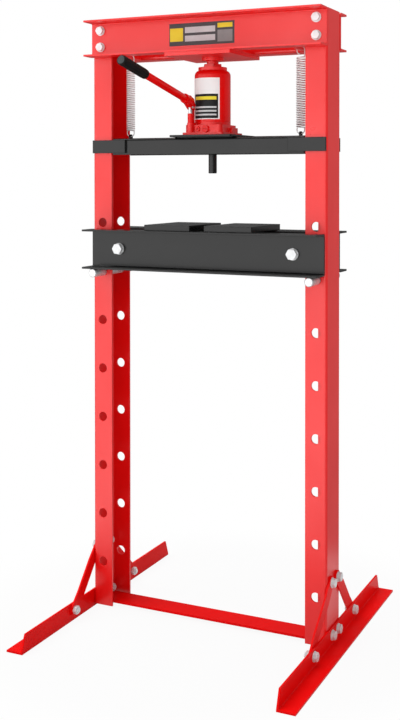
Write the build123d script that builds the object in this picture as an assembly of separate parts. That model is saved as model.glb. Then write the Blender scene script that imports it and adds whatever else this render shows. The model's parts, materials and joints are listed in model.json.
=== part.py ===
# H-frame shop press with a bottle jack, in millimetres.
# Frame: origin on the floor at the centre, +X right, -Y towards the operator, +Z up.
import math
import os

from build123d import *

# Overall frame
press_height = 1310.0
frame_half_width = 276.0
overrun = 2.0
fit_clearance = 0.05
slide_clearance = 0.4

# Uprights, cold formed channels that open inwards
upright_depth = 82.4
upright_flange = 47.0
upright_wall = 4.0
upright_bend = 2.0
upright_bottom = 6.0
pin_hole_inset = 23.7
pin_hole_radius = 10.25
pin_hole_count = 8
pin_hole_top_drop = 446.0
pin_hole_lowest = 104.5
holes_above_bed_count = 1

# Crown, two channels back to back across the uprights
crown_overhang = 0.5
crown_depth = 79.2
crown_flange = 40.4
crown_wall = 4.0
crown_bend = 2.0
crown_bolt_inset = 22.0
crown_bolt_drop = 20.0
crown_bolt_pitch = 36.4

# Head plate that the jack pushes on
head_plate_length = 155.0
head_plate_width = 160.0
head_plate_thickness = 8.0
plate_corner = 3.0

# Bolts, washers and nuts
hex_side_count = 6
bolt_radius = 5.0
bolt_clearance = 0.3
bolt_head_flats = 16.0
bolt_head_height = 6.4
washer_radius = 10.5
washer_thickness = 2.0
nut_height = 8.0
bolt_tail = 3.0
nut_chamfer = 0.8

# Feet, equal angles
foot_leg = 38.0
foot_wall = 4.0
foot_bend = 1.5
foot_half_length = 317.0
foot_end_slant = 14.0
foot_bolt_spread = 18.0
foot_bolt_height = 23.5

# Braces, joggled flat bars
brace_width = 26.0
brace_thickness = 4.0
brace_top_y = 19.0
brace_top_z = 132.0
brace_foot_y = 127.0
brace_joggle_start = 42.0
brace_joggle_length = 76.0

# Cross tie, a flat plate with its ends turned up
tie_width = 51.0
tie_thickness = 5.0
tie_bottom = 8.0
tie_tab_height = 28.0
tie_bend = 2.0

# Bed, two channels on pins
bed_end_inset = 3.0
bed_depth = 86.0
bed_flange = 49.0
bed_wall = 4.0
bed_bend = 2.0
bed_side_clearance = 4.8
bed_bolt_inset = 71.0
spacer_radius = 14.0
spacer_wall = 4.0
bed_bolt_radius = 7.0
bed_bolt_flats = 21.0
bed_bolt_head_height = 8.8
bed_nut_height = 11.0
bed_pin_radius = 9.5
bed_pin_length = 170.0
bed_pin_chamfer = 1.5

# Arbor plates that lie on the bed
arbor_gap = 34.0
arbor_length = 108.5
arbor_width = 160.0
arbor_thickness = 12.5
arbor_edge = 1.0

# Moving beam, a channel laid flat with its web on top
beam_end_clearance = 3.0
beam_height = 36.5
beam_wall = 4.0
beam_bend = 2.0
guide_height = 28.5
guide_thickness = 5.0
guide_lap = 34.0
guide_outer_inset = 1.5
jack_plate_length = 144.0
jack_plate_width = 132.0
jack_plate_thickness = 4.3
press_pin_radius = 9.0
press_pin_reach = 41.2
press_pin_chamfer = 1.2

# Return springs, with their eyes and hanger rods
spring_inset = 22.5
spring_radius = 10.0
spring_wire_radius = 1.2
spring_low_hook = 3.0
spring_top_hook = 13.0
spring_hook_gap = 0.6
spring_hook_inset = 0.15
spring_hook_open_deg = 110.0
hanger_radius = 4.0
hanger_rise = 2.6
eye_thickness = 4.0
eye_hole_rise = 4.0
eye_hole_radius = 2.8
eye_wall = 3.4

# Jack base casting
base_flange_half_x = 48.0
base_flange_half_y = 53.0
base_flange_thickness = 5.3
base_flange_corner = 5.0
base_block_left = 46.5
base_block_right = 40.0
base_block_front = 43.0
base_block_rear = 40.0
base_block_height = 22.0
base_block_corner = 9.0
base_height = 27.7
base_lug_x = 36.0
base_lug_y = 11.0
base_lug_length = 30.0
base_lug_height = 16.0
base_rib_width = 8.0

# Jack body
reservoir_radius = 39.0
reservoir_wall = 2.5
reservoir_straight = 101.0
reservoir_dome = 11.0
reservoir_neck_radius = 31.0
cylinder_bore = 19.0
cylinder_wall = 4.5
cylinder_seat_depth = 9.0
top_ring_height = 7.0
top_nut_flats = 36.4
top_nut_height = 7.0
top_nut_socket = 4.0
ram_radius = 12.8
piston_height = 12.0
piston_floor_gap = 2.0
seal_height = 3.0
seal_depth = 2.5
saddle_radius = 23.5
saddle_thickness = 7.0
saddle_spigot_radius = 7.0
saddle_spigot_length = 10.0
saddle_edge = 1.0
saddle_gap = 6.8
filler_drop = 18.0
filler_radius = 5.0
filler_head_radius = 7.5
filler_head_height = 2.0

# Pump, beside the jack body
pump_x = -31.2
pump_y = -46.0
pump_boss_radius = 7.0
pump_boss_height = 26.0
pump_cylinder_radius = 5.8
pump_cylinder_height = 20.0
pump_thread_radius = 5.0
pump_thread_length = 12.0
plunger_radius = 4.0
plunger_length = 25.5
plunger_neck = 9.0
lever_pin_rise = 13.2
lever_pin_radius = 2.5
lever_arm = 9.8
lever_travel_deg = 30.0
tongue_thickness = 5.0
plunger_eye_radius = 4.3
fulcrum_eye_radius = 3.7
fulcrum_shank = 6.4
pump_slot_clearance = 0.3

# Lever socket, handle and grip
handle_yaw_deg = 5.0
handle_lift_deg = 14.4
handle_axis_rise = 12.1
handle_radius = 7.7
handle_wall = 2.0
handle_length = 252.3
socket_bottom = 10.0
socket_wall = 2.6
socket_back = 3.0
socket_length = 25.0
socket_gap = 0.1
cheek_thickness = 3.0
cheek_gap = 0.3
cheek_radius = 4.6
cheek_roof = 6.0
cheek_slot_front = 7.4
lever_pin_overhang = 1.0
grip_length = 87.0
grip_wall = 2.2
grip_end = 2.0
grip_edge = 1.2

# Release valve and plug on the front of the base
valve_x = 4.0
valve_height = 13.0
valve_stem_radius = 4.0
valve_stem_length = 16.0
valve_head_radius = 7.5
valve_head_length = 5.5
valve_slot_width = 2.4
valve_slot_depth = 2.5
plug_x = -15.0
plug_radius = 4.0
plug_head_radius = 5.5
plug_length = 10.0
plug_head_length = 3.0
plug_socket_radius = 2.4

# Places that follow from the sizes above
flange_face = upright_depth / 2
pin_hole_x = frame_half_width - pin_hole_inset
crown_half_length = frame_half_width + crown_overhang
crown_bottom = press_height - crown_depth
crown_web_outer = flange_face + crown_wall
crown_bolt_x = frame_half_width - crown_bolt_inset
head_plate_bottom = crown_bottom - head_plate_thickness
pin_hole_top = press_height - pin_hole_top_drop
pin_hole_pitch = (pin_hole_top - pin_hole_lowest) / (pin_hole_count - 1)
bed_hole_z = pin_hole_top - pin_hole_pitch * holes_above_bed_count
bed_pin_z = bed_hole_z - (pin_hole_radius - bed_pin_radius)
bed_bottom = bed_pin_z + bed_pin_radius
bed_top = bed_bottom + bed_depth
bed_half_length = frame_half_width - bed_end_inset
bed_bolt_x = frame_half_width - bed_bolt_inset
bed_web_inner = flange_face + bed_side_clearance
bed_web_outer = bed_web_inner + bed_wall
jack_body_height = base_height + reservoir_straight + reservoir_dome + top_ring_height + top_nut_height
jack_closed_height = jack_body_height + saddle_gap + saddle_thickness
jack_floor = head_plate_bottom - jack_closed_height
beam_top = jack_floor - jack_plate_thickness
beam_bottom = beam_top - beam_height
beam_half_length = frame_half_width - upright_flange - beam_end_clearance
guide_inner_end = beam_half_length - guide_lap
guide_inner = flange_face + slide_clearance
base_flange_top = jack_floor + base_flange_thickness
base_top = jack_floor + base_height
reservoir_shoulder = base_top + reservoir_straight
reservoir_top = reservoir_shoulder + reservoir_dome
filler_height = reservoir_shoulder - filler_drop
cylinder_outer = cylinder_bore + cylinder_wall
cylinder_floor = base_top - cylinder_seat_depth
cylinder_top = reservoir_top + top_nut_socket
ring_top = reservoir_top + top_ring_height
saddle_bottom = head_plate_bottom - saddle_thickness
ram_bottom = cylinder_floor + piston_floor_gap
spring_x = beam_half_length - spring_inset
spring_ring_radius = spring_radius - spring_wire_radius - spring_hook_inset
eye_hole_z = beam_top + eye_hole_rise
spring_low_wire = eye_hole_z + eye_hole_radius - spring_wire_radius - spring_hook_gap
spring_coil_bottom = spring_low_wire + spring_ring_radius + spring_low_hook
hanger_z = crown_bottom + hanger_rise
spring_top_wire = hanger_z + hanger_radius + fit_clearance + spring_wire_radius
spring_coil_top = spring_top_wire - spring_ring_radius - spring_top_hook
boss_top = jack_floor + pump_boss_height
pump_top = boss_top + pump_cylinder_height
pump_floor = boss_top - pump_thread_length
lever_pin_z = pump_top + lever_pin_rise
plunger_bottom = lever_pin_z - plunger_neck - plunger_length
tongue_half = tongue_thickness / 2
cheek_inner = tongue_half + cheek_gap
cheek_outer = cheek_inner + cheek_thickness
slot_half_height = lever_pin_radius + pump_slot_clearance
slot_run = lever_arm * (1 - math.cos(math.radians(lever_travel_deg)))
handle_outer_s = socket_bottom + handle_length
valve_z = jack_floor + valve_height

# The lever works in an upright plane through the pump, turned a little to the left.
# In lever_frame x runs along the pins, y away from the operator and z up from the pin height.
lever_frame = Pos(pump_x, pump_y, lever_pin_z) * Rot(0, 0, -handle_yaw_deg)
handle_frame = lever_frame * Pos(0, 0, handle_axis_rise) * Rot(90 - handle_lift_deg, 0, 0)


def block(x0, x1, y0, y1, z0, z1):
    """A box between two corners."""
    middle = Pos((x0 + x1) / 2, (y0 + y1) / 2, (z0 + z1) / 2)
    return middle * Box(abs(x1 - x0), abs(y1 - y0), abs(z1 - z0))


def rod_x(y, z, x0, x1, radius):
    """A round bar along X."""
    return Pos((x0 + x1) / 2, y, z) * Rot(0, 90, 0) * Cylinder(radius, abs(x1 - x0))


def rod_y(x, z, y0, y1, radius):
    """A round bar along Y."""
    return Pos(x, (y0 + y1) / 2, z) * Rot(90, 0, 0) * Cylinder(radius, abs(y1 - y0))


def rod_z(x, y, z0, z1, radius):
    """A round bar along Z."""
    return Pos(x, y, (z0 + z1) / 2) * Cylinder(radius, abs(z1 - z0))


def turned(points):
    """A solid of revolution about Z from (radius, height) points."""
    section = make_face(Polyline([(r, 0, z) for r, z in points], close=True))
    return revolve(section, Axis.Z)


def channel_section(depth, flange, wall, bend):
    """Section of a channel: web on the Y axis, flanges along +X, round bends."""
    half = depth / 2
    points = [
        (0, -half),
        (flange, -half),
        (flange, -half + wall),
        (wall, -half + wall),
        (wall, half - wall),
        (flange, half - wall),
        (flange, half),
        (0, half),
    ]
    section = make_face(Polyline(points, close=True))
    section = fillet(section.vertices().group_by(Axis.X)[1], bend)
    return fillet(section.vertices().group_by(Axis.X)[0], bend + wall)


def hex_prism(flats, height, bore=0):
    """A hexagon standing on the XY plane with two flats facing +Y and -Y, one end chamfered."""
    prism = extrude(RegularPolygon(flats / 2, hex_side_count, major_radius=False), height)
    cone_radius = flats / 2 / math.cos(math.pi / hex_side_count)
    crown = turned([
        (0, 0),
        (cone_radius, 0),
        (cone_radius, height - nut_chamfer),
        (cone_radius - nut_chamfer, height),
        (0, height),
    ])
    prism = prism & crown
    if bore:
        prism -= Pos(0, 0, height / 2) * Cylinder(bore, height + overrun)
    return prism


def bolt(grip, radius, flats, head_height, washer, nut):
    """A hexagon bolt: under its head at z=0, with the shank along -Z."""
    shank_length = grip + washer_thickness + nut + bolt_tail
    head = Pos(0, 0, washer_thickness) * hex_prism(flats, head_height)
    shank = Pos(0, 0, washer_thickness - shank_length / 2) * Cylinder(radius, shank_length)
    ring = Pos(0, 0, washer_thickness / 2) * Cylinder(washer, washer_thickness)
    return head + shank + ring


def far_nut(grip, radius, flats, nut):
    """The nut at the far end of a bolt."""
    return Pos(0, 0, -grip) * Rot(180, 0, 0) * hex_prism(flats, nut, radius + fit_clearance)


def frame_bolt(grip):
    """The bolt used all over the frame."""
    return bolt(grip, bolt_radius, bolt_head_flats, bolt_head_height, washer_radius, nut_height)


def frame_nut(grip):
    """The nut used all over the frame."""
    return far_nut(grip, bolt_radius, bolt_head_flats, nut_height)


def facing_x(x, y, z, side):
    """A place on a face that looks along +X or -X, with the flats level."""
    return Location(Plane((x, y, z), x_dir=(0, side, 0), z_dir=(side, 0, 0)))


def facing_y(x, y, z, side):
    """A place on a face that looks along +Y or -Y, with the flats level."""
    return Location(Plane((x, y, z), x_dir=(-side, 0, 0), z_dir=(0, side, 0)))


def write(name, shape):
    """Save one piece, or one group of like pieces, under its node name."""
    export_step(shape, "parts/" + name + ".step")


def pair(name, shape):
    """Save a right-hand piece and its mirror image on the left."""
    write("right_" + name, shape)
    write("left_" + name, mirror(shape, about=Plane.YZ))


def front_and_rear(name, shape):
    """Save a front piece and its mirror image at the rear."""
    write("front_" + name, shape)
    write("rear_" + name, mirror(shape, about=Plane.XZ))


def long_channel(depth, flange, wall, bend, half_length, web_inner, bottom):
    """A channel along X in front of the frame, flanges towards the operator."""
    plane = Plane(
        (-half_length, -web_inner, bottom + depth / 2), x_dir=(0, -1, 0), z_dir=(1, 0, 0)
    )
    return extrude(plane * channel_section(depth, flange, wall, bend), 2 * half_length)


os.makedirs("parts", exist_ok=True)


# Uprights
def make_upright():
    """The right-hand upright with its pin holes and bolt holes."""
    section = channel_section(upright_depth, upright_flange, upright_wall, upright_bend)
    upright = extrude(section, press_height - upright_bottom)
    upright = Pos(frame_half_width, 0, upright_bottom) * Rot(0, 0, 180) * upright
    reach = flange_face + overrun
    for step in range(pin_hole_count):
        hole_z = pin_hole_top - step * pin_hole_pitch
        upright -= rod_y(pin_hole_x, hole_z, -reach, reach, pin_hole_radius)
    for bolt_z in crown_bolt_heights:
        upright -= rod_y(crown_bolt_x, bolt_z, -reach, reach, bolt_radius + bolt_clearance)
    web_inside = frame_half_width - upright_wall - overrun
    web_outside = frame_half_width + overrun
    for y, z in web_bolt_places:
        upright -= rod_x(y, z, web_inside, web_outside, bolt_radius + bolt_clearance)
    return upright


crown_bolt_heights = [
    press_height - crown_bolt_drop,
    press_height - crown_bolt_drop - crown_bolt_pitch,
]
web_bolt_places = [
    (side * spread, height)
    for side in (-1, 1)
    for spread, height in ((foot_bolt_spread, foot_bolt_height), (brace_top_y, brace_top_z))
]
pair("upright", make_upright())


# Crown channels and the plate that the jack pushes on
def make_crown_channel():
    """The front crown channel with its bolt holes."""
    crown = long_channel(
        crown_depth, crown_flange, crown_wall, crown_bend,
        crown_half_length, flange_face, crown_bottom,
    )
    for side in (-1, 1):
        for bolt_z in crown_bolt_heights:
            crown -= rod_y(
                side * crown_bolt_x, bolt_z, -crown_web_outer - overrun, -flange_face + overrun,
                bolt_radius + bolt_clearance,
            )
    return crown


front_and_rear("crown_channel", make_crown_channel())
head_plate = block(
    -head_plate_length / 2, head_plate_length / 2, -head_plate_width / 2, head_plate_width / 2,
    head_plate_bottom, crown_bottom,
)
write("head_plate", fillet(head_plate.edges().filter_by(Axis.Z), plate_corner))

crown_grip = crown_wall + upright_wall
crown_places = [
    facing_y(side * crown_bolt_x, face * crown_web_outer, bolt_z, face)
    for side in (-1, 1)
    for face in (-1, 1)
    for bolt_z in crown_bolt_heights
]
write("crown_bolts", Compound([place * frame_bolt(crown_grip) for place in crown_places]))
write("crown_nuts", Compound([place * frame_nut(crown_grip) for place in crown_places]))


# Feet
def make_foot():
    """The right-hand foot: an angle with its upright leg cut back at both ends."""
    section = make_face(Polyline([
        (0, 0),
        (foot_leg, 0),
        (foot_leg, foot_wall),
        (foot_wall, foot_wall),
        (foot_wall, foot_leg),
        (0, foot_leg),
    ], close=True))
    inner_corner = section.vertices().sort_by_distance((foot_wall, foot_wall))[0]
    section = fillet(inner_corner, foot_bend)
    plane = Plane((frame_half_width, foot_half_length, 0), x_dir=(1, 0, 0), z_dir=(0, -1, 0))
    foot = extrude(plane * section, 2 * foot_half_length)
    side_view = make_face(Polyline([
        (-foot_half_length, -overrun),
        (foot_half_length, -overrun),
        (foot_half_length, foot_wall),
        (foot_half_length - foot_end_slant, foot_leg + overrun),
        (-foot_half_length + foot_end_slant, foot_leg + overrun),
        (-foot_half_length, foot_wall),
    ], close=True))
    profile_plane = Plane(
        (frame_half_width - overrun, 0, 0), x_dir=(0, 1, 0), z_dir=(1, 0, 0)
    )
    foot = foot & extrude(profile_plane * side_view, foot_leg + 2 * overrun)
    for side in (-1, 1):
        for y in (foot_bolt_spread, brace_foot_y):
            foot -= rod_x(
                side * y, foot_bolt_height, frame_half_width - overrun,
                frame_half_width + foot_wall + overrun, bolt_radius + bolt_clearance,
            )
    return foot


pair("foot", make_foot())


# Braces
def make_brace():
    """The right front brace, joggled by its own thickness to pass from web to foot."""
    run_y = brace_foot_y - brace_top_y
    drop = brace_top_z - foot_bolt_height
    length = math.hypot(run_y, drop)
    end = brace_width / 2
    joggle_end = brace_joggle_start + brace_joggle_length
    side_view = make_face(Polyline([
        (-end, 0),
        (brace_joggle_start, 0),
        (joggle_end, -brace_thickness),
        (length + end, -brace_thickness),
        (length + end, 0),
        (joggle_end, 0),
        (brace_joggle_start, brace_thickness),
        (-end, brace_thickness),
    ], close=True))
    bar = extrude(Plane.XZ * side_view, end, both=True)
    outline = Pos(length / 2, 0, -brace_thickness - overrun) * SlotCenterToCenter(length, brace_width)
    bar = bar & extrude(outline, 2 * brace_thickness + 2 * overrun)
    for along in (0, length):
        bar -= rod_z(
            along, 0, -brace_thickness - overrun, brace_thickness + overrun,
            bolt_radius + bolt_clearance,
        )
    plane = Plane(
        (frame_half_width, -brace_top_y, brace_top_z), x_dir=(0, -run_y, -drop), z_dir=(1, 0, 0)
    )
    return plane.location * bar


front_brace = make_brace()
pair("front_brace", front_brace)
pair("rear_brace", mirror(front_brace, about=Plane.XZ))

# Bolts of the feet and braces
brace_face = frame_half_width + brace_thickness
foot_face = frame_half_width + foot_wall
brace_grip = brace_thickness + upright_wall
lower_grip = foot_wall + brace_thickness
foot_grip = foot_wall + upright_wall + tie_thickness
corners = [(side, end) for side in (-1, 1) for end in (-1, 1)]
top_places = [facing_x(s * brace_face, e * brace_top_y, brace_top_z, s) for s, e in corners]
low_places = [facing_x(s * foot_face, e * brace_foot_y, foot_bolt_height, s) for s, e in corners]
foot_places = [facing_x(s * foot_face, e * foot_bolt_spread, foot_bolt_height, s) for s, e in corners]
brace_set = [(place, brace_grip) for place in top_places]
brace_set += [(place, lower_grip) for place in low_places]
write("brace_bolts", Compound([place * frame_bolt(grip) for place, grip in brace_set]))
write("brace_nuts", Compound([place * frame_nut(grip) for place, grip in brace_set]))
write("foot_bolts", Compound([place * frame_bolt(foot_grip) for place in foot_places]))
write("foot_nuts", Compound([place * frame_nut(foot_grip) for place in foot_places]))


# Cross tie
def make_cross_tie():
    """A flat plate between the webs with both ends turned up for the foot bolts."""
    half = frame_half_width - upright_wall
    tab_top = tie_bottom + tie_tab_height
    section = make_face(Polyline([
        (-half, tie_bottom),
        (half, tie_bottom),
        (half, tab_top),
        (half - tie_thickness, tab_top),
        (half - tie_thickness, tie_bottom + tie_thickness),
        (-half + tie_thickness, tie_bottom + tie_thickness),
        (-half + tie_thickness, tab_top),
        (-half, tab_top),
    ], close=True))
    inner = [
        section.vertices().sort_by_distance((s * (half - tie_thickness), tie_bottom + tie_thickness))[0]
        for s in (-1, 1)
    ]
    section = fillet(inner, tie_bend)
    outer = [section.vertices().sort_by_distance((s * half, tie_bottom))[0] for s in (-1, 1)]
    section = fillet(outer, tie_bend + tie_thickness)
    tie = extrude(Plane.XZ * section, tie_width / 2, both=True)
    for side, end in corners:
        tie -= rod_x(
            end * foot_bolt_spread, foot_bolt_height, side * (half - tie_thickness - overrun),
            side * (half + overrun), bolt_radius + bolt_clearance,
        )
    return tie


write("cross_tie", make_cross_tie())


# Bed
def make_bed_channel():
    """The front bed channel with its tie bolt holes."""
    bed = long_channel(
        bed_depth, bed_flange, bed_wall, bed_bend, bed_half_length, bed_web_inner, bed_bottom
    )
    for side in (-1, 1):
        bed -= rod_y(
            side * bed_bolt_x, bed_bottom + bed_depth / 2, -bed_web_outer - overrun,
            -bed_web_inner + overrun, bed_bolt_radius + bolt_clearance,
        )
    return bed


front_and_rear("bed_channel", make_bed_channel())
bed_bolt_z = bed_bottom + bed_depth / 2
bed_grip = 2 * bed_web_outer
bed_places = [facing_y(side * bed_bolt_x, -bed_web_outer, bed_bolt_z, -1) for side in (-1, 1)]
bed_washer = washer_radius + bed_bolt_radius - bolt_radius
bed_bolt = bolt(
    bed_grip, bed_bolt_radius, bed_bolt_flats, bed_bolt_head_height, bed_washer, bed_nut_height
)
bed_nut = far_nut(bed_grip, bed_bolt_radius, bed_bolt_flats, bed_nut_height)
write("bed_tie_bolts", Compound([place * bed_bolt for place in bed_places]))
write("bed_tie_nuts", Compound([place * bed_nut for place in bed_places]))
spacer = rod_y(bed_bolt_x, bed_bolt_z, -bed_web_inner, bed_web_inner, spacer_radius)
spacer -= rod_y(
    bed_bolt_x, bed_bolt_z, -bed_web_inner - overrun, bed_web_inner + overrun,
    spacer_radius - spacer_wall,
)
pair("bed_spacer", spacer)
bed_pin = rod_y(pin_hole_x, bed_pin_z, -bed_pin_length / 2, bed_pin_length / 2, bed_pin_radius)
pair("bed_pin", chamfer(bed_pin.edges().filter_by(GeomType.CIRCLE), bed_pin_chamfer))
arbor_plate = block(
    arbor_gap / 2, arbor_gap / 2 + arbor_length, -arbor_width / 2, arbor_width / 2,
    bed_top, bed_top + arbor_thickness,
)
pair("arbor_plate", fillet(arbor_plate.edges().filter_by(Axis.Z), arbor_edge))


# Moving beam with its guide bars, jack plate and press pin
def make_beam():
    """A channel laid flat, web on top, with its flanges pointing down."""
    section = channel_section(upright_depth, beam_height, beam_wall, beam_bend)
    plane = Plane((-beam_half_length, 0, beam_top), x_dir=(0, 0, -1), z_dir=(1, 0, 0))
    return extrude(plane * section, 2 * beam_half_length)


write("press_beam", make_beam())
guide_bottom = beam_bottom + (beam_height - guide_height) / 2
beam_face = upright_depth / 2
guide = block(
    guide_inner_end, frame_half_width - guide_outer_inset, -guide_inner - guide_thickness,
    -guide_inner, guide_bottom, guide_bottom + guide_height,
)
weld_pad = block(
    guide_inner_end, beam_half_length, -guide_inner, -beam_face,
    guide_bottom, guide_bottom + guide_height,
)
guide = guide + weld_pad
pair("front_guide", guide)
pair("rear_guide", mirror(guide, about=Plane.XZ))
jack_plate = block(
    -jack_plate_length / 2, jack_plate_length / 2, -jack_plate_width / 2, jack_plate_width / 2,
    beam_top, jack_floor,
)
write("jack_plate", fillet(jack_plate.edges().filter_by(Axis.Z), plate_corner))
press_pin = rod_z(0, 0, beam_bottom - press_pin_reach, beam_top - beam_wall, press_pin_radius)
press_pin = chamfer(press_pin.edges().sort_by(Axis.Z)[0], press_pin_chamfer)
write("press_pin", press_pin)


# Return springs
def make_spring():
    """A close coil as a plain sleeve, with a full hook at each end."""
    bore = spring_radius - 2 * spring_wire_radius - 2 * spring_hook_inset
    spring = rod_z(0, 0, spring_coil_bottom, spring_coil_top, spring_radius)
    spring -= rod_z(0, 0, spring_coil_bottom - overrun, spring_coil_top + overrun, bore)
    top_hook = make_hook(spring_top_hook)
    low_hook = make_hook(spring_low_hook)
    spring += Pos(0, 0, spring_coil_top) * top_hook
    spring += Pos(0, 0, spring_coil_bottom) * mirror(low_hook, about=Plane.XY)
    return Pos(spring_x, 0, 0) * spring


def make_hook(reach):
    """A straight leg up from the coil and most of a turn of wire, in the XZ plane."""
    leg = Line((spring_ring_radius, 0), (spring_ring_radius, reach))
    loop = CenterArc((0, reach), spring_ring_radius, 0, 360 - spring_hook_open_deg)
    path = Plane.XZ * Wire([leg.edge(), loop.edge()])
    wire_end = Pos(spring_ring_radius, 0, 0) * Circle(spring_wire_radius)
    return sweep(wire_end, path=path)


def make_spring_eye():
    """The tab on the beam that the lower hook passes through."""
    half = eye_hole_radius + eye_wall
    eye = block(
        spring_x - eye_thickness / 2, spring_x + eye_thickness / 2, -half, half,
        beam_top, eye_hole_z,
    )
    inside = spring_x - eye_thickness / 2
    outside = spring_x + eye_thickness / 2
    eye += rod_x(0, eye_hole_z, inside, outside, half)
    eye = eye & block(inside, outside, -half, half, beam_top, eye_hole_z + half)
    return eye - rod_x(0, eye_hole_z, inside - overrun, outside + overrun, eye_hole_radius)


pair("spring", make_spring())
pair("spring_eye", make_spring_eye())
pair("hanger_rod", rod_y(spring_x, hanger_z, -flange_face, flange_face, hanger_radius))


# Jack base
def make_fulcrum_lug():
    """The lug behind the pump that the lever rocks on, in the lever frame."""
    foot_z = boss_top - lever_pin_z - base_rib_width
    back = lever_arm + fulcrum_eye_radius
    lug = block(-tongue_half, tongue_half, back - fulcrum_shank, back, foot_z, 0)
    lug += rod_x(lever_arm, 0, -tongue_half, tongue_half, fulcrum_eye_radius)
    hole = lever_pin_radius + fit_clearance
    return lug - rod_x(lever_arm, 0, -tongue_half - overrun, tongue_half + overrun, hole)


def make_jack_base():
    """One casting: flange, block, pump boss, fulcrum lug, side lug and the bores."""
    flange = block(
        -base_flange_half_x, base_flange_half_x, -base_flange_half_y, base_flange_half_y,
        jack_floor, base_flange_top,
    )
    base = fillet(flange.edges().filter_by(Axis.Z), base_flange_corner)
    body = block(
        -base_block_left, base_block_right, -base_block_front, base_block_rear,
        base_flange_top, jack_floor + base_block_height,
    )
    base += fillet(body.edges().filter_by(Axis.Z), base_block_corner)
    base += rod_z(0, 0, base_flange_top, base_top, reservoir_radius)
    base += rod_z(pump_x, pump_y, base_flange_top, boss_top, pump_boss_radius)
    base += block(
        pump_x - pump_boss_radius, pump_x + pump_boss_radius, pump_y, -base_flange_half_x / 2,
        base_flange_top, boss_top,
    )
    base += lever_frame * make_fulcrum_lug()
    base += block(
        base_lug_x, base_flange_half_x, base_lug_y - base_lug_length / 2,
        base_lug_y + base_lug_length / 2, base_flange_top, jack_floor + base_lug_height,
    )
    base -= rod_z(0, 0, cylinder_floor, base_top + overrun, cylinder_outer)
    base -= rod_z(pump_x, pump_y, pump_floor, boss_top + overrun, pump_thread_radius)
    base -= rod_y(
        valve_x, valve_z, -base_block_front - overrun, -base_block_front + valve_stem_length,
        valve_stem_radius + fit_clearance,
    )
    base -= rod_y(
        plug_x, valve_z, -base_block_front - overrun, -base_block_front + plug_length, plug_radius
    )
    return base


write("jack_base", make_jack_base())

# Jack body
inner_radius = reservoir_radius - reservoir_wall


def make_reservoir():
    """The oil tank: a tube with a domed top, open round the cylinder."""
    dome_inner = reservoir_neck_radius - reservoir_wall / 2
    ceiling = reservoir_top - reservoir_wall
    outline = make_face(
        Polyline(
            (reservoir_neck_radius, reservoir_top),
            (cylinder_outer, reservoir_top),
            (cylinder_outer, ceiling),
            (dome_inner, ceiling),
        )
        + TangentArc(
            (inner_radius, reservoir_shoulder), (dome_inner, ceiling), tangent=(0, 1)
        )
        + Polyline(
            (inner_radius, reservoir_shoulder),
            (inner_radius, base_top),
            (reservoir_radius, base_top),
            (reservoir_radius, reservoir_shoulder),
        )
        + TangentArc(
            (reservoir_radius, reservoir_shoulder), (reservoir_neck_radius, reservoir_top),
            tangent=(0, 1),
        )
    )
    tank = revolve(Plane.XZ * outline, Axis.Z)
    return tank - rod_y(0, filler_height, 0, reservoir_radius + overrun, filler_radius)


def make_filler_plug():
    """A rubber plug in the back of the tank."""
    stem = rod_y(0, filler_height, inner_radius, reservoir_radius + overrun, filler_radius)
    head = rod_y(
        0, filler_height, reservoir_radius, reservoir_radius + filler_head_height, filler_head_radius
    )
    return stem + head - rod_z(0, 0, base_top, reservoir_top, inner_radius)


def make_top_nut():
    """The ring and hexagon that close the tank and guide the ram."""
    nut = rod_z(0, 0, reservoir_top, ring_top, reservoir_neck_radius)
    nut += Pos(0, 0, ring_top) * hex_prism(top_nut_flats, top_nut_height)
    nut -= rod_z(0, 0, reservoir_top - overrun, cylinder_top, cylinder_outer)
    bore_top = ring_top + top_nut_height + overrun
    return nut - rod_z(0, 0, reservoir_top, bore_top, ram_radius + fit_clearance)


write("reservoir", make_reservoir())
write("filler_plug", make_filler_plug())
write("top_nut", make_top_nut())
cylinder = rod_z(0, 0, cylinder_floor, cylinder_top, cylinder_outer)
cylinder -= rod_z(0, 0, cylinder_floor - overrun, cylinder_top + overrun, cylinder_bore)
write("jack_cylinder", cylinder)

# Ram, its seal and the saddle under the head plate
piston_radius = cylinder_bore - fit_clearance
groove_bottom = ram_bottom + (piston_height - seal_height) / 2
groove_top = groove_bottom + seal_height
ram = turned([
    (0, ram_bottom),
    (piston_radius, ram_bottom),
    (piston_radius, groove_bottom),
    (piston_radius - seal_depth, groove_bottom),
    (piston_radius - seal_depth, groove_top),
    (piston_radius, groove_top),
    (piston_radius, ram_bottom + piston_height),
    (ram_radius, ram_bottom + piston_height),
    (ram_radius, saddle_bottom),
    (saddle_spigot_radius, saddle_bottom),
    (saddle_spigot_radius, saddle_bottom - saddle_spigot_length),
    (0, saddle_bottom - saddle_spigot_length),
])
write("ram", ram)
seal = turned([
    (piston_radius - seal_depth, groove_bottom),
    (piston_radius, groove_bottom),
    (piston_radius, groove_top),
    (piston_radius - seal_depth, groove_top),
])
write("ram_seal", seal)
saddle = turned([
    (0, saddle_bottom - saddle_spigot_length),
    (saddle_spigot_radius, saddle_bottom - saddle_spigot_length),
    (saddle_spigot_radius, saddle_bottom),
    (saddle_radius - saddle_edge, saddle_bottom),
    (saddle_radius, saddle_bottom + saddle_edge),
    (saddle_radius, head_plate_bottom),
    (0, head_plate_bottom),
])
write("saddle", saddle)

# Pump cylinder and plunger
pump_cylinder = rod_z(pump_x, pump_y, boss_top, pump_top, pump_cylinder_radius)
pump_cylinder += rod_z(pump_x, pump_y, pump_floor, boss_top, pump_thread_radius)
pump_cylinder -= rod_z(
    pump_x, pump_y, pump_floor - overrun, pump_top + overrun, plunger_radius + fit_clearance
)
write("pump_cylinder", pump_cylinder)


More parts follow.
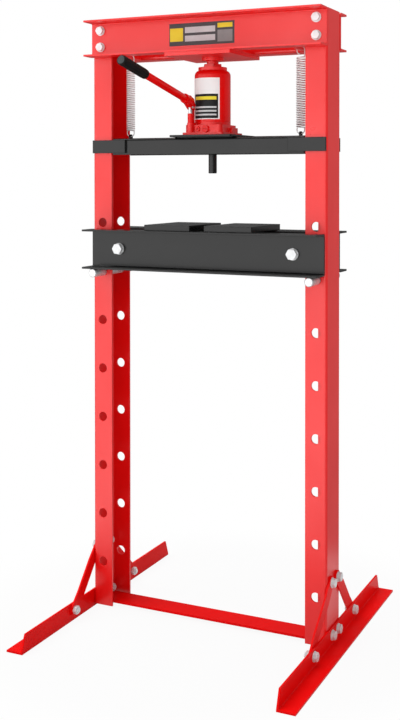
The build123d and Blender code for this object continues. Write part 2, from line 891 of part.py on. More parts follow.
def make_plunger():
    """A steel rod with a flat slotted eye for the lever pin, in the lever frame."""
    bottom = plunger_bottom - lever_pin_z
    plunger = rod_z(0, 0, bottom, -plunger_neck, plunger_radius)
    flats = block(
        -tongue_half, tongue_half, -plunger_radius, plunger_radius, -plunger_neck, 0
    )
    plunger += flats & rod_z(0, 0, -plunger_neck, 0, plunger_radius)
    for y in (0, slot_run):
        plunger += rod_x(y, 0, -tongue_half, tongue_half, plunger_eye_radius)
    plunger += block(
        -tongue_half, tongue_half, 0, slot_run, -plunger_eye_radius, plunger_eye_radius
    )
    inside = -tongue_half - overrun
    outside = tongue_half + overrun
    for y in (0, slot_run):
        plunger -= rod_x(y, 0, inside, outside, slot_half_height)
    return plunger - block(inside, outside, 0, slot_run, -slot_half_height, slot_half_height)


write("pump_plunger", lever_frame * make_plunger())


# Lever socket, its pins, the handle and the grip
def make_handle_socket():
    """Two cheeks that carry the pins, with a sleeve for the handle."""
    slant = math.radians(handle_lift_deg)
    sleeve_outer = handle_radius + socket_gap + socket_wall
    sleeve_mid = socket_bottom
    circles = [
        (lever_arm, 0, cheek_radius),
        (0, 0, cheek_radius),
        (
            -sleeve_mid * math.cos(slant),
            handle_axis_rise + sleeve_mid * math.sin(slant),
            sleeve_outer,
        ),
        (socket_back * math.cos(slant), handle_axis_rise - socket_back * math.sin(slant), cheek_radius),
    ]
    with BuildSketch(Plane.YZ) as cheek_view:
        for y, z, radius in circles:
            with Locations((y, z)):
                Circle(radius)
        make_hull()
    socket = extrude(cheek_view.sketch, cheek_outer, both=True)
    sleeve = Pos(0, 0, handle_axis_rise) * Rot(90 - handle_lift_deg, 0, 0)
    socket += sleeve * rod_z(0, 0, 0, socket_length, sleeve_outer)
    slot_back = lever_arm + cheek_radius + overrun
    socket -= block(
        -cheek_inner, cheek_inner, -cheek_slot_front, slot_back, -2 * cheek_radius, cheek_roof
    )
    for y in (0, lever_arm):
        socket -= rod_x(
            y, 0, -cheek_outer - overrun, cheek_outer + overrun, lever_pin_radius + fit_clearance
        )
    bore = handle_radius + socket_gap
    return socket - sleeve * rod_z(0, 0, socket_bottom, socket_length + overrun, bore)


write("handle_socket", lever_frame * make_handle_socket())
pin_end = cheek_outer + lever_pin_overhang
write("fulcrum_pin", lever_frame * rod_x(lever_arm, 0, -pin_end, pin_end, lever_pin_radius))
write("plunger_pin", lever_frame * rod_x(0, 0, -pin_end, pin_end, lever_pin_radius))
handle = rod_z(0, 0, socket_bottom, handle_outer_s, handle_radius)
handle -= rod_z(
    0, 0, socket_bottom - overrun, handle_outer_s + overrun, handle_radius - handle_wall
)
write("handle_tube", handle_frame * handle)
grip_outer = handle_radius + grip_wall
grip_start = handle_outer_s - grip_length + grip_end
grip = rod_z(0, 0, grip_start, handle_outer_s + grip_end, grip_outer)
grip = fillet(grip.edges().filter_by(GeomType.CIRCLE), grip_edge)
grip -= rod_z(0, 0, grip_start - overrun, handle_outer_s, handle_radius)
write("handle_grip", handle_frame * grip)


# Release valve and plug
def make_release_valve():
    """A screw with a slotted round head in the front of the base."""
    face = -base_block_front
    valve = rod_y(
        valve_x, valve_z, face, face + valve_stem_length, valve_stem_radius
    )
    valve += rod_y(valve_x, valve_z, face - valve_head_length, face, valve_head_radius)
    return valve - block(
        valve_x - valve_head_radius, valve_x + valve_head_radius, face - valve_head_length,
        face - valve_head_length + valve_slot_depth,
        valve_z - valve_slot_width / 2, valve_z + valve_slot_width / 2,
    )


def make_valve_plug():
    """A plug with a hexagon socket beside the release valve."""
    face = -base_block_front
    plug = rod_y(plug_x, valve_z, face, face + plug_length, plug_radius)
    plug += rod_y(plug_x, valve_z, face - plug_head_length, face, plug_head_radius)
    socket = facing_y(plug_x, face - plug_head_length, valve_z, -1)
    key = extrude(RegularPolygon(plug_socket_radius, hex_side_count), -plug_head_length)
    return plug - socket * key


write("release_valve", make_release_valve())
write("valve_plug", make_valve_plug())
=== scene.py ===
# H-frame shop press with a bottle jack: paint, springs, welds, threads, plain label fields and a studio.
# Lengths are in metres, in the frame of the CAD model: +X right, -Y towards the operator, +Z up.
import json
import math

import bmesh
import bpy
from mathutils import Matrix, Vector


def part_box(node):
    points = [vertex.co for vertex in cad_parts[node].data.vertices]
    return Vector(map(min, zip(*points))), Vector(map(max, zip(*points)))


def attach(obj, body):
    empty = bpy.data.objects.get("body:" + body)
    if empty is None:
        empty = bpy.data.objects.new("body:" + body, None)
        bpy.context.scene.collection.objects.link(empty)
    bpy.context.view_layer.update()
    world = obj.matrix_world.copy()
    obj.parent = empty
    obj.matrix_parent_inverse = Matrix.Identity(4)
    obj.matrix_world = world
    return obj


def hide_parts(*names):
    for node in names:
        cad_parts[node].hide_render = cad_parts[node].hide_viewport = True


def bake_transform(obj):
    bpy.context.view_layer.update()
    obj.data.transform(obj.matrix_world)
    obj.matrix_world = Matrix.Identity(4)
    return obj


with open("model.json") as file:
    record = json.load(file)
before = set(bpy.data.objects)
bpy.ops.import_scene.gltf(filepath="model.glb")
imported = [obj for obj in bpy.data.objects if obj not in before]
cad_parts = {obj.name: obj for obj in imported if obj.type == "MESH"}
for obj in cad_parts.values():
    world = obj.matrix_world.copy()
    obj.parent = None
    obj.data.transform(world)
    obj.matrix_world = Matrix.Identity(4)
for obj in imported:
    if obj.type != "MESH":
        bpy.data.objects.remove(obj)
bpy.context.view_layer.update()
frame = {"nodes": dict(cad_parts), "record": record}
nodes = frame["nodes"]
mm = 0.001

# Sizes of the pieces made here
hook_wire_radius = 1.2 * mm
coil_wire_radius = 1.6 * mm
coil_pitch = 4.9 * mm
hook_inset = 0.15 * mm
low_hook_rise = 3.0 * mm
top_hook_rise = 13.0 * mm
hook_sweep_deg = 250
hook_rise_steps = 4
points_per_turn = 20
wire_sides = 8
same_point = 0.001 * mm
thread_pitch = 1.5 * mm
thread_wire = 0.42 * mm
thread_length = 2.6 * mm
thread_sink = 0.2 * mm
thread_sides = 6
thread_tip_share = 0.2
thread_tip_steps = 4
bolt_end_depth = 0.5 * mm
bead_pitch = 2.4 * mm
bead_ripple_share = 0.16
bead_tip_share = 0.4
points_per_ripple = 6
bead_sides = 8
bead_margin = 6 * mm
bead_end_gap = 1 * mm
plate_bead = 1.6 * mm
pad_bead = 1.4 * mm
guide_bead = 1.4 * mm
eye_bead = 0.8 * mm
grip_rib_count = 12
grip_rib_radius = 0.9 * mm
grip_rib_margin = 4 * mm
grip_rib_taper_share = 0.02
grip_rib_sides = 10
grip_end_share = 0.82
grip_end_lift = 0.3 * mm
grip_end_sides = 40
label_lift = 0.15 * mm
field_lift = 0.12 * mm
label_arc_step_deg = 4

# Shared values of the materials
edge_round = 0.7 * mm
edge_samples = 4
cloud_detail = 4
first_tone_at = 0.35
other_tone_at = 0.65
smooth_at = 0.3
rough_at = 0.7
grain_detail = 3
grain_depth = 0.2 * mm

# Handle direction, up and away from the jack towards the operator
handle_yaw = math.radians(5)
handle_lift = math.radians(14.4)
handle_direction = Vector((
    -math.sin(handle_yaw) * math.cos(handle_lift),
    -math.cos(handle_yaw) * math.cos(handle_lift),
    math.sin(handle_lift),
))


# Materials
def surface(
    name, tone, other_tone, cloud_scale, roughness, roughness_spread,
    metallic=0.0, specular=0.55, bump=0.0, bump_scale=600.0, edge=edge_round,
):
    """Two close tones in soft clouds, uneven roughness, a fine bump and softened edges."""
    material = bpy.data.materials.new(name)
    material.use_nodes = True
    tree = material.node_tree
    shader = tree.nodes["Principled BSDF"]
    shader.inputs["Metallic"].default_value = metallic
    shader.inputs["Specular IOR Level"].default_value = specular
    place = tree.nodes.new("ShaderNodeTexCoord")
    cloud = tree.nodes.new("ShaderNodeTexNoise")
    cloud.inputs["Scale"].default_value = cloud_scale
    cloud.inputs["Detail"].default_value = cloud_detail
    tree.links.new(place.outputs["Object"], cloud.inputs["Vector"])
    ramp = tree.nodes.new("ShaderNodeValToRGB")
    ramp.color_ramp.elements[0].position = first_tone_at
    ramp.color_ramp.elements[0].color = (*tone, 1)
    ramp.color_ramp.elements[1].position = other_tone_at
    ramp.color_ramp.elements[1].color = (*other_tone, 1)
    tree.links.new(cloud.outputs["Fac"], ramp.inputs["Fac"])
    tree.links.new(ramp.outputs["Color"], shader.inputs["Base Color"])
    spread = tree.nodes.new("ShaderNodeMapRange")
    spread.inputs["From Min"].default_value = smooth_at
    spread.inputs["From Max"].default_value = rough_at
    spread.inputs["To Min"].default_value = roughness - roughness_spread
    spread.inputs["To Max"].default_value = roughness + roughness_spread
    tree.links.new(cloud.outputs["Fac"], spread.inputs["Value"])
    tree.links.new(spread.outputs["Result"], shader.inputs["Roughness"])
    rounding = tree.nodes.new("ShaderNodeBevel")
    rounding.samples = edge_samples
    rounding.inputs["Radius"].default_value = edge
    grain = tree.nodes.new("ShaderNodeTexNoise")
    grain.inputs["Scale"].default_value = bump_scale
    grain.inputs["Detail"].default_value = grain_detail
    tree.links.new(place.outputs["Object"], grain.inputs["Vector"])
    relief = tree.nodes.new("ShaderNodeBump")
    relief.inputs["Strength"].default_value = bump
    relief.inputs["Distance"].default_value = grain_depth
    tree.links.new(grain.outputs["Fac"], relief.inputs["Height"])
    tree.links.new(rounding.outputs["Normal"], relief.inputs["Normal"])
    tree.links.new(relief.outputs["Normal"], shader.inputs["Normal"])
    return material


red_paint = surface(
    "red_paint", (0.82, 0.004, 0.004), (0.77, 0.003, 0.003), 7, 0.32, 0.05, bump=0.05, bump_scale=420,
)
# Painted shade: a copy of the frame's red paint with its sheen almost removed and a slightly different
# tone, for the pieces by the floor, standing in for the shade and weaker reflection there
shaded_low_red = surface(
    "shaded_low_red", (0.84, 0.003, 0.003), (0.78, 0.003, 0.003), 9, 0.38, 0.06,
    specular=0.05, bump=0.08, bump_scale=420,
)
jack_red = surface(
    "jack_red", (0.80, 0.002, 0.002), (0.73, 0.002, 0.002), 24, 0.24, 0.04,
    specular=0.25, bump=0.06, bump_scale=700,
)
cast_red = surface(
    "cast_red", (0.78, 0.002, 0.002), (0.69, 0.002, 0.002), 40, 0.32, 0.08,
    specular=0.45, bump=0.35, bump_scale=900,
)
black_paint = surface(
    "black_paint", (0.007, 0.007, 0.007), (0.011, 0.011, 0.011), 12, 0.2, 0.05,
    specular=0.22, bump=0.12, bump_scale=900, edge=2.2 * mm,
)
zinc_plate = surface(
    "zinc_plate", (0.74, 0.745, 0.75), (0.65, 0.655, 0.66), 90, 0.34, 0.08,
    metallic=0.2, bump=0.08, bump_scale=1500, edge=0.4 * mm,
)
bright_steel = surface(
    "bright_steel", (0.58, 0.58, 0.59), (0.50, 0.50, 0.51), 60, 0.28, 0.07,
    metallic=0.45, bump=0.05, bump_scale=1800, edge=0.4 * mm,
)
spring_steel = surface(
    "spring_steel", (0.80, 0.79, 0.79), (0.72, 0.71, 0.71), 120, 0.4, 0.06,
    metallic=0.15, specular=0.3, edge=0.2 * mm,
)
black_rubber = surface(
    "black_rubber", (0.006, 0.006, 0.006), (0.010, 0.010, 0.010), 60, 0.5, 0.08,
    specular=0.15, bump=0.2, bump_scale=1400,
)
grip_grey = surface(
    "grip_grey", (0.055, 0.062, 0.064), (0.070, 0.076, 0.078), 60, 0.45, 0.08,
    specular=0.2, bump=0.1, bump_scale=1400,
)


def label(name, tone, other_tone):
    """A printed film with little gloss."""
    return surface(
        name, tone, other_tone, cloud_scale=40, roughness=0.4, roughness_spread=0.04,
        specular=0.1, edge=0.05 * mm,
    )


label_grey = label("label_grey", (0.075, 0.075, 0.078), (0.085, 0.085, 0.088))
label_dark = label("label_dark", (0.012, 0.012, 0.013), (0.018, 0.018, 0.019))
label_white = label("label_white", (0.92, 0.92, 0.92), (0.89, 0.89, 0.89))
label_pale = label("label_pale", (0.62, 0.63, 0.64), (0.56, 0.57, 0.58))
label_mid = label("label_mid", (0.25, 0.25, 0.25), (0.29, 0.29, 0.29))
label_yellow = label("label_yellow", (0.86, 0.72, 0.06), (0.80, 0.66, 0.05))

looks = {
    "red_paint": red_paint,
    "jack_red": jack_red,
    "black_paint": black_paint,
    "zinc_plate": zinc_plate,
    "bright_steel": bright_steel,
    "spring_steel": spring_steel,
    "black_rubber": black_rubber,
}
slot_of = {entry["node"]: entry["material_slot"] for entry in frame["record"]["subparts"]}
# The feet, braces and cross tie take the shaded copy of the red paint: painted shade on the pieces by the
# floor
own_looks = {
    "jack_base": cast_red,
    "ram": red_paint,
    "saddle": red_paint,
    "top_nut": red_paint,
    "cross_tie": shaded_low_red,
}
for side in ("left", "right"):
    for piece in ("foot", "front_brace", "rear_brace"):
        own_looks[side + "_" + piece] = shaded_low_red
for name, node in nodes.items():
    node.data.materials.clear()
    node.data.materials.append(own_looks.get(name, looks[slot_of[name]]))


# Mesh helpers
def add_mesh(name, points, faces, material, smooth=True):
    """A mesh object from points and faces."""
    mesh = bpy.data.meshes.new(name)
    mesh.from_pydata([tuple(p) for p in points], [], faces)
    mesh.validate()
    mesh.materials.append(material)
    if smooth:
        mesh.shade_smooth()
    made = bpy.data.objects.new(name, mesh)
    bpy.context.scene.collection.objects.link(made)
    return made


def tube_parts(path, radii, sides, first=0):
    """Points and faces of a round tube along a path, with flat ends."""
    points = []
    faces = []
    last = len(path) - 1
    normal = None
    for i, here in enumerate(path):
        tangent = (path[min(i + 1, last)] - path[max(i - 1, 0)]).normalized()
        if normal is None:
            normal = tangent.orthogonal()
        normal = (normal - tangent * normal.dot(tangent)).normalized()
        binormal = tangent.cross(normal)
        for k in range(sides):
            angle = 2 * math.pi * k / sides
            points.append(here + radii[i] * (normal * math.cos(angle) + binormal * math.sin(angle)))
    for i in range(last):
        for k in range(sides):
            a = first + i * sides + k
            b = first + i * sides + (k + 1) % sides
            faces.append((a, b, b + sides, a + sides))
    faces.append(tuple(first + k for k in reversed(range(sides))))
    faces.append(tuple(first + last * sides + k for k in range(sides)))
    return points, faces


def join_tubes(name, tubes, sides, material):
    """One object of several tubes, each a path and its radii."""
    points = []
    faces = []
    for path, radii in tubes:
        more_points, more_faces = tube_parts(path, radii, sides, len(points))
        points += more_points
        faces += more_faces
    return add_mesh(name, points, faces, material)


# Return springs: slightly open coils with a hook at each end
def spring_path(x, low, high, outer_radius):
    """The wire's line and radii from the low hook to the top hook, and the heights of the coil."""
    coil_radius = outer_radius - coil_wire_radius
    hook_radius = outer_radius - hook_wire_radius - hook_inset
    low_ring = low + hook_wire_radius + hook_radius
    top_ring = high - hook_wire_radius - hook_radius
    coil_low = low_ring + low_hook_rise + hook_wire_radius
    coil_high = top_ring - top_hook_rise - hook_wire_radius
    turns = round((coil_high - coil_low) / coil_pitch)
    path = []

    def hook_point(ring, angle):
        return Vector((x + hook_radius * math.cos(angle), 0, ring + hook_radius * math.sin(angle)))

    for i in range(points_per_turn):
        angle = math.radians(hook_sweep_deg) * (i / points_per_turn - 1)
        path.append(hook_point(low_ring, angle))
    path.append(Vector((x + hook_radius, 0, low_ring)))
    count = turns * points_per_turn
    coil_first = len(path)
    for i in range(count + 1):
        angle = 2 * math.pi * i / points_per_turn
        rise = coil_low + (coil_high - coil_low) * i / count
        path.append(Vector((x + coil_radius * math.cos(angle), coil_radius * math.sin(angle), rise)))
    coil_last = len(path) - 1
    for i in range(1, hook_rise_steps):
        rise = coil_high + (top_ring - coil_high) * i / hook_rise_steps
        path.append(Vector((x + hook_radius, 0, rise)))
    for i in range(points_per_turn + 1):
        angle = math.radians(hook_sweep_deg) * i / points_per_turn
        path.append(hook_point(top_ring, angle))
    radii = []
    for i in range(len(path)):
        inside = min(i - coil_first, coil_last - i)
        share = min(max(inside / points_per_turn, 0), 1)
        radii.append(hook_wire_radius + (coil_wire_radius - hook_wire_radius) * share)
    return path, radii, coil_low, coil_high


for side in ("left", "right"):
    low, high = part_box(side + "_spring")
    middle = (low.x + high.x) / 2
    outer_radius = (high.x - low.x) / 2
    path, radii, coil_low, coil_high = spring_path(middle, low.z, high.z, outer_radius)
    spring = join_tubes(side + "_spring_wire", [(path, radii)], wire_sides, spring_steel)
    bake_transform(spring)
    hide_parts(side + "_spring")


# Threads on the bolt ends that stand out of their nuts
def islands(node):
    """The separate solids of a CAD node, each as a list of points."""
    mesh = bmesh.new()
    mesh.from_mesh(nodes[node].data)
    bmesh.ops.remove_doubles(mesh, verts=mesh.verts, dist=same_point)
    taken = set()
    found = []
    for start in mesh.verts:
        if start in taken:
            continue
        taken.add(start)
        stack = [start]
        points = []
        while stack:
            vertex = stack.pop()
            points.append(vertex.co.copy())
            for edge in vertex.link_edges:
                other = edge.other_vert(vertex)
                if other not in taken:
                    taken.add(other)
                    stack.append(other)
        found.append(points)
    mesh.free()
    return found


def thread_on(points):
    """A thread's line and radii on the thin end of a bolt."""
    low = Vector([min(p[k] for p in points) for k in range(3)])
    high = Vector([max(p[k] for p in points) for k in range(3)])
    size = high - low
    along = max(range(3), key=lambda k: size[k])
    across = [k for k in range(3) if k != along]
    centre = (low + high) / 2

    def reach(p):
        return math.hypot(p[across[0]] - centre[across[0]], p[across[1]] - centre[across[1]])

    near_low = max(reach(p) for p in points if p[along] < low[along] + bolt_end_depth)
    near_high = max(reach(p) for p in points if p[along] > high[along] - bolt_end_depth)
    thin_at_low = near_low < near_high
    tip = low[along] if thin_at_low else high[along]
    inward = 1 if thin_at_low else -1
    radius = min(near_low, near_high) - thread_sink
    count = int(points_per_turn * thread_length / thread_pitch)
    path = []
    for i in range(count + 1):
        angle = 2 * math.pi * i / points_per_turn
        p = Vector((0, 0, 0))
        p[along] = tip + inward * (2 * thread_wire + thread_length * i / count)
        p[across[0]] = centre[across[0]] + radius * math.cos(angle)
        p[across[1]] = centre[across[1]] + radius * math.sin(angle)
        path.append(p)
    radii = []
    for i in range(count + 1):
        from_end = min(i, count - i)
        radii.append(thread_wire * min(1, thread_tip_share + from_end / thread_tip_steps))
    return path, radii


for group in ("crown_bolts", "brace_bolts", "foot_bolts", "bed_tie_bolts"):
    thread_lines = [thread_on(points) for points in islands(group)]
    threads = join_tubes(group + "_threads", thread_lines, thread_sides, zinc_plate)
    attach(threads, "frame")


# Weld beads, rippled along their length
def bead(start, end, radius):
    """The line and radii of a straight rippled bead between two points."""
    start = Vector(start)
    end = Vector(end)
    count = max(points_per_ripple, int((end - start).length / bead_pitch * points_per_ripple))
    path = [start.lerp(end, i / count) for i in range(count + 1)]
    radii = []
    for i in range(count + 1):
        ripple = 1 + bead_ripple_share * math.sin(2 * math.pi * i / points_per_ripple)
        fade = min(1, bead_tip_share + min(i, count - i) / points_per_ripple)
        radii.append(radius * ripple * fade)
    return path, radii


plate_low, plate_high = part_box("head_plate")
beam_low, beam_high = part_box("press_beam")
pad_low, pad_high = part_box("jack_plate")
weld_front = plate_low.y + bead_margin
weld_rear = plate_high.y - bead_margin
head_beads = [
    bead((x, weld_front, plate_high.z), (x, weld_rear, plate_high.z), plate_bead)
    for x in (plate_low.x, plate_high.x)
]
head_welds = join_tubes("head_plate_welds", head_beads, bead_sides, red_paint)
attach(head_welds, "frame")

beam_beads = [
    bead((pad_low.x + bead_margin, y, pad_low.z), (pad_high.x - bead_margin, y, pad_low.z), pad_bead)
    for y in (beam_low.y, beam_high.y)
]
for side in ("left", "right"):
    for end, y in (("front", beam_low.y), ("rear", beam_high.y)):
        bar_low, bar_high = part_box(side + "_" + end + "_guide")
        x = bar_high.x if side == "left" else bar_low.x
        lower = (x, y, bar_low.z + bead_end_gap)
        upper = (x, y, bar_high.z - bead_end_gap)
        beam_beads.append(bead(lower, upper, guide_bead))
    eye_low, eye_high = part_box(side + "_spring_eye")
    for x in (eye_low.x, eye_high.x):
        nearer = (x, eye_low.y + bead_end_gap, eye_low.z)
        farther = (x, eye_high.y - bead_end_gap, eye_low.z)
        beam_beads.append(bead(nearer, farther, eye_bead))
beam_welds = join_tubes("beam_welds", beam_beads, bead_sides, black_paint)
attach(beam_welds, "carriage")


# Ribs on the handle grip
def spine(node, direction):
    """Start, end, radius and two cross directions of a round node that lies along a direction."""
    sideways = direction.cross(Vector((0, 0, 1))).normalized()
    upward = sideways.cross(direction)
    points = [vertex.co for vertex in nodes[node].data.vertices]
    along = [p.dot(direction) for p in points]
    across = [p.dot(sideways) for p in points]
    heights = [p.dot(upward) for p in points]
    middle = sideways * (min(across) + max(across)) / 2 + upward * (min(heights) + max(heights)) / 2
    radius = (max(across) - min(across)) / 2
    return middle + direction * min(along), middle + direction * max(along), radius, sideways, upward


grip_start, grip_end, grip_radius, grip_side, grip_up = spine("handle_grip", handle_direction)
rib_reach = grip_radius - grip_rib_radius / 2
rib_shares = (0, grip_rib_taper_share, 1 - grip_rib_taper_share, 1)
rib_radii = [grip_rib_radius / 2, grip_rib_radius, grip_rib_radius, grip_rib_radius / 2]
ribs = []
for i in range(grip_rib_count):
    angle = 2 * math.pi * i / grip_rib_count
    out = (grip_side * math.cos(angle) + grip_up * math.sin(angle)) * rib_reach
    first = grip_start + handle_direction * grip_rib_margin + out
    last = grip_end - handle_direction * grip_rib_margin + out
    ribs.append(([first.lerp(last, share) for share in rib_shares], rib_radii))
grip_ribs = join_tubes("handle_grip_ribs", ribs, grip_rib_sides, black_rubber)
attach(grip_ribs, "pump_lever")

# Grey disc in the end of the grip
disc_line = [grip_end - handle_direction * grip_end_lift, grip_end + handle_direction * grip_end_lift]
disc_radius = grip_radius * grip_end_share
disc_points, disc_faces = tube_parts(disc_line, [disc_radius, disc_radius], grip_end_sides)
grip_disc = add_mesh("handle_grip_end", disc_points, disc_faces, grip_grey, smooth=False)
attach(grip_disc, "pump_lever")


# Plain label fields on the crown, as shares of the label's width and height from its lower left corner
crown_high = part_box("front_crown_channel")[1]
crown_web = 4 * mm
crown_face = crown_high.y - crown_web
label_left = -82 * mm
label_right = 72 * mm
label_bottom = 1247 * mm
label_top = 1295 * mm


def flat_field(name, shares, lift, material):
    """A thin field on the crown's front face."""
    width = label_right - label_left
    height = label_top - label_bottom
    x0 = label_left + shares[0] * width
    x1 = label_left + shares[1] * width
    z0 = label_bottom + shares[2] * height
    z1 = label_bottom + shares[3] * height
    near = crown_face - lift
    points = []
    for y in (crown_face, near):
        points += [(x0, y, z0), (x1, y, z0), (x1, y, z1), (x0, y, z1)]
    faces = [(4, 5, 6, 7), (0, 1, 5, 4), (1, 2, 6, 5), (2, 3, 7, 6), (3, 0, 4, 7), (3, 2, 1, 0)]
    made = add_mesh(name, points, faces, material, smooth=False)
    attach(made, "frame")


crown_fields = [
    ("crown_label_square", (0.012, 0.215, 0.2, 0.79), label_yellow),
    ("crown_label_band_1", (0.245, 0.71, 0.56, 0.82), label_pale),
    ("crown_label_band_2", (0.245, 0.71, 0.18, 0.44), label_pale),
    ("crown_label_strip", (0.745, 0.97, 0.72, 0.92), label_yellow),
    ("crown_label_block", (0.745, 0.97, 0.1, 0.62), label_mid),
]
flat_field("crown_label", (0, 1, 0, 1), label_lift, label_grey)
for name, shares, material in crown_fields:
    flat_field(name, shares, label_lift + field_lift, material)

# Plain label fields round the oil tank: degrees from the front towards +X, and shares of the label's height
tank_low, tank_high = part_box("reservoir")
tank_radius = (tank_high.x - tank_low.x) / 2
tank_label_rise = 6 * mm
tank_label_bottom = tank_low.z + tank_label_rise
tank_label_height = 88.6 * mm


def curved_field(name, start_deg, end_deg, low_share, high_share, lift, material):
    """A thin field wrapped on the tank."""
    z0 = tank_label_bottom + low_share * tank_label_height
    z1 = tank_label_bottom + high_share * tank_label_height
    count = max(2, math.ceil((end_deg - start_deg) / label_arc_step_deg))
    points = []
    faces = []
    for i in range(count + 1):
        angle = math.radians(start_deg + (end_deg - start_deg) * i / count)
        for radius in (tank_radius, tank_radius + lift):
            for z in (z0, z1):
                points.append((radius * math.sin(angle), -radius * math.cos(angle), z))
    for i in range(count):
        a = 4 * i
        b = a + 4
        faces += [(a + 2, b + 2, b + 3, a + 3), (a + 3, b + 3, b + 1, a + 1)]
        faces += [(a, b, b + 2, a + 2), (a, a + 1, b + 1, b)]
    faces += [(0, 2, 3, 1), (4 * count, 4 * count + 1, 4 * count + 3, 4 * count + 2)]
    made = add_mesh(name, points, faces, material, smooth=False)
    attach(made, "carriage")


# The panel lies on the label, and the other fields lie on the panel
tank_fields = [
    ("tank_label_panel", -48.4, 42.4, 0.023, 0.61, label_dark),
    ("tank_label_band", -43, 37, 0.47, 0.55, label_yellow),
    ("tank_label_stripe_1", -43, 37, 0.27, 0.31, label_pale),
    ("tank_label_stripe_2", -43, 37, 0.18, 0.22, label_pale),
    ("tank_label_stripe_3", -43, 37, 0.09, 0.13, label_pale),
]
curved_field("tank_label", -53.5, 47.6, 0, 1, label_lift, label_white)
for i, (name, start, end, low_share, high_share, material) in enumerate(tank_fields):
    layers = 1 if i == 0 else 2
    lift = label_lift + field_lift * layers
    curved_field(name, start, end, low_share, high_share, lift, material)

# Floor: a pale disc that keeps a soft shadow and fades into the white round it
floor_radius = 0.65
floor_fade_start = 0.4
floor_drop = 0.2 * mm
floor_steps = 96
floor_grey = 0.6
floor_white_share = 0.93
floor_points = []
for i in range(floor_steps):
    angle = 2 * math.pi * i / floor_steps
    floor_points.append((floor_radius * math.cos(angle), floor_radius * math.sin(angle), 0))
floor_material = bpy.data.materials.new("floor")
floor_material.use_nodes = True
floor_tree = floor_material.node_tree
floor_tree.nodes.clear()
floor_out = floor_tree.nodes.new("ShaderNodeOutputMaterial")
floor_cloth = floor_tree.nodes.new("ShaderNodeBsdfDiffuse")
floor_cloth.inputs["Color"].default_value = (floor_grey, floor_grey, floor_grey, 1)
floor_glow = floor_tree.nodes.new("ShaderNodeEmission")
floor_glow.inputs["Strength"].default_value = 1
floor_mix = floor_tree.nodes.new("ShaderNodeMixShader")
floor_place = floor_tree.nodes.new("ShaderNodeTexCoord")
floor_reach = floor_tree.nodes.new("ShaderNodeVectorMath")
floor_reach.operation = "LENGTH"
floor_fade = floor_tree.nodes.new("ShaderNodeMapRange")
floor_fade.interpolation_type = "SMOOTHSTEP"
floor_fade.inputs["From Min"].default_value = floor_fade_start
floor_fade.inputs["From Max"].default_value = floor_radius
floor_fade.inputs["To Min"].default_value = floor_white_share
floor_fade.inputs["To Max"].default_value = 1
floor_path = floor_tree.nodes.new("ShaderNodeLightPath")
floor_mirrored = floor_tree.nodes.new("ShaderNodeMath")
floor_mirrored.operation = "MAXIMUM"
floor_seen = floor_tree.nodes.new("ShaderNodeMath")
floor_seen.operation = "MAXIMUM"
floor_share = floor_tree.nodes.new("ShaderNodeMath")
floor_share.operation = "MULTIPLY"
floor_tree.links.new(floor_place.outputs["Object"], floor_reach.inputs[0])
floor_tree.links.new(floor_reach.outputs["Value"], floor_fade.inputs["Value"])
floor_tree.links.new(floor_path.outputs["Is Glossy Ray"], floor_mirrored.inputs[0])
floor_tree.links.new(floor_path.outputs["Is Transmission Ray"], floor_mirrored.inputs[1])
floor_tree.links.new(floor_path.outputs["Is Camera Ray"], floor_seen.inputs[0])
floor_tree.links.new(floor_mirrored.outputs["Value"], floor_seen.inputs[1])
floor_tree.links.new(floor_seen.outputs["Value"], floor_share.inputs[0])
floor_tree.links.new(floor_fade.outputs["Result"], floor_share.inputs[1])
floor_tree.links.new(floor_share.outputs["Value"], floor_mix.inputs["Fac"])
floor_tree.links.new(floor_cloth.outputs["BSDF"], floor_mix.inputs[1])
floor_tree.links.new(floor_glow.outputs["Emission"], floor_mix.inputs[2])
floor_tree.links.new(floor_mix.outputs["Shader"], floor_out.inputs["Surface"])
floor = add_mesh("floor", floor_points, [tuple(range(floor_steps))], floor_material, smooth=False)
floor.location.z = -floor_drop

# World: white where it is seen; where it is mirrored, a bright front, a paler right side and a dim back;
# elsewhere an even fill, stronger from below as from a pale floor
front_glow = 3.3
right_glow = 0.34
back_glow = 0.14
fill_glow = 0.46
low_fill_glow = 1.0
front_heading = (-0.41, -0.91, 0)
front_range = (0.3, 0.95)
front_height_range = (0.16, 0.32)
right_range = (-0.3, 0.5)
fill_height_range = (-0.2, 0.05)
world = bpy.data.worlds.new("studio")
bpy.context.scene.world = world
world.use_nodes = True
sky = world.node_tree
back = sky.nodes["Background"]
back.inputs["Color"].default_value = (1, 1, 1, 1)
path_node = sky.nodes.new("ShaderNodeLightPath")
direction = sky.nodes.new("ShaderNodeTexCoord")
split = sky.nodes.new("ShaderNodeSeparateXYZ")
sky.links.new(direction.outputs["Generated"], split.inputs["Vector"])


def sky_range(source, limits, start_value, end_value):
    """A smooth change of brightness from one direction to another."""
    change = sky.nodes.new("ShaderNodeMapRange")
    change.interpolation_type = "SMOOTHSTEP"
    change.inputs["From Min"].default_value = limits[0]
    change.inputs["From Max"].default_value = limits[1]
    change.inputs["To Min"].default_value = start_value
    change.inputs["To Max"].default_value = end_value
    sky.links.new(source, change.inputs["Value"])
    return change.outputs["Result"]


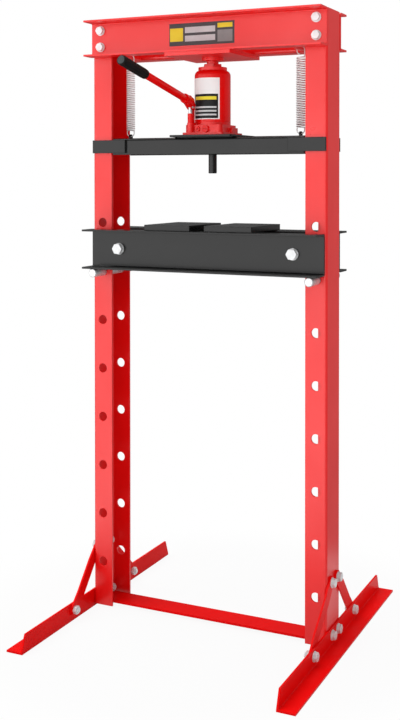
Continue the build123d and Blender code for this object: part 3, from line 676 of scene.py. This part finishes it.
towards_front = sky.nodes.new("ShaderNodeVectorMath")
towards_front.operation = "DOT_PRODUCT"
towards_front.inputs[1].default_value = front_heading
sky.links.new(direction.outputs["Generated"], towards_front.inputs[0])
front_part = sky_range(towards_front.outputs["Value"], front_range, 0, front_glow)
low_part = sky_range(split.outputs["Z"], front_height_range, 1, 0)
low_front = sky.nodes.new("ShaderNodeMath")
low_front.operation = "MULTIPLY"
sky.links.new(front_part, low_front.inputs[0])
sky.links.new(low_part, low_front.inputs[1])
right_part = sky_range(split.outputs["X"], right_range, back_glow, right_glow)
room = sky.nodes.new("ShaderNodeMath")
room.operation = "ADD"
sky.links.new(low_front.outputs["Value"], room.inputs[0])
sky.links.new(right_part, room.inputs[1])
mirrored = sky.nodes.new("ShaderNodeMath")
mirrored.operation = "MAXIMUM"
sky.links.new(path_node.outputs["Is Glossy Ray"], mirrored.inputs[0])
sky.links.new(path_node.outputs["Is Transmission Ray"], mirrored.inputs[1])
fill = sky.nodes.new("ShaderNodeMix")
fill_part = sky_range(split.outputs["Z"], fill_height_range, low_fill_glow, fill_glow)
sky.links.new(fill_part, fill.inputs["A"])
sky.links.new(mirrored.outputs["Value"], fill.inputs["Factor"])
sky.links.new(room.outputs["Value"], fill.inputs["B"])
seen = sky.nodes.new("ShaderNodeMix")
seen.inputs["B"].default_value = 1
sky.links.new(path_node.outputs["Is Camera Ray"], seen.inputs["Factor"])
sky.links.new(fill.outputs["Result"], seen.inputs["A"])
sky.links.new(seen.outputs["Result"], back.inputs["Strength"])


# Soft lamps, far away
def lamp(name, towards, strength, spread_deg, mirrored=False):
    """A soft sun that shines from a direction."""
    data = bpy.data.lights.new(name, "SUN")
    data.energy = strength
    data.angle = math.radians(spread_deg)
    made = bpy.data.objects.new(name, data)
    made.rotation_euler = Vector(towards).to_track_quat("Z", "Y").to_euler()
    made.visible_glossy = mirrored
    bpy.context.scene.collection.objects.link(made)


lamp("front_lamp", (-0.25, -0.95, 0.2), 0.5, 60)
lamp("top_lamp", (-0.35, -0.1, 0.93), 2.15, 50, mirrored=True)
lamp("right_lamp", (0.68, -0.68, 0.25), 0.52, 60)
lamp("back_lamp", (0.1, 0.9, 0.4), 0.5, 60)

# Camera, as the photograph was taken
camera_dip_deg = 0.81
camera_yaw_deg = 24.49
camera_data = bpy.data.cameras.new("camera")
camera_data.sensor_width = 36
camera_data.lens = 53.597
camera_data.shift_x = -0.0392
camera_data.shift_y = -0.2342
camera = bpy.data.objects.new("camera", camera_data)
camera.location = (0.99425, -2.10150, 0.96726)
camera.rotation_euler = (math.radians(90 - camera_dip_deg), 0, math.radians(camera_yaw_deg))
bpy.context.scene.collection.objects.link(camera)
bpy.context.scene.camera = camera
bpy.context.scene.view_settings.view_transform = "Standard"
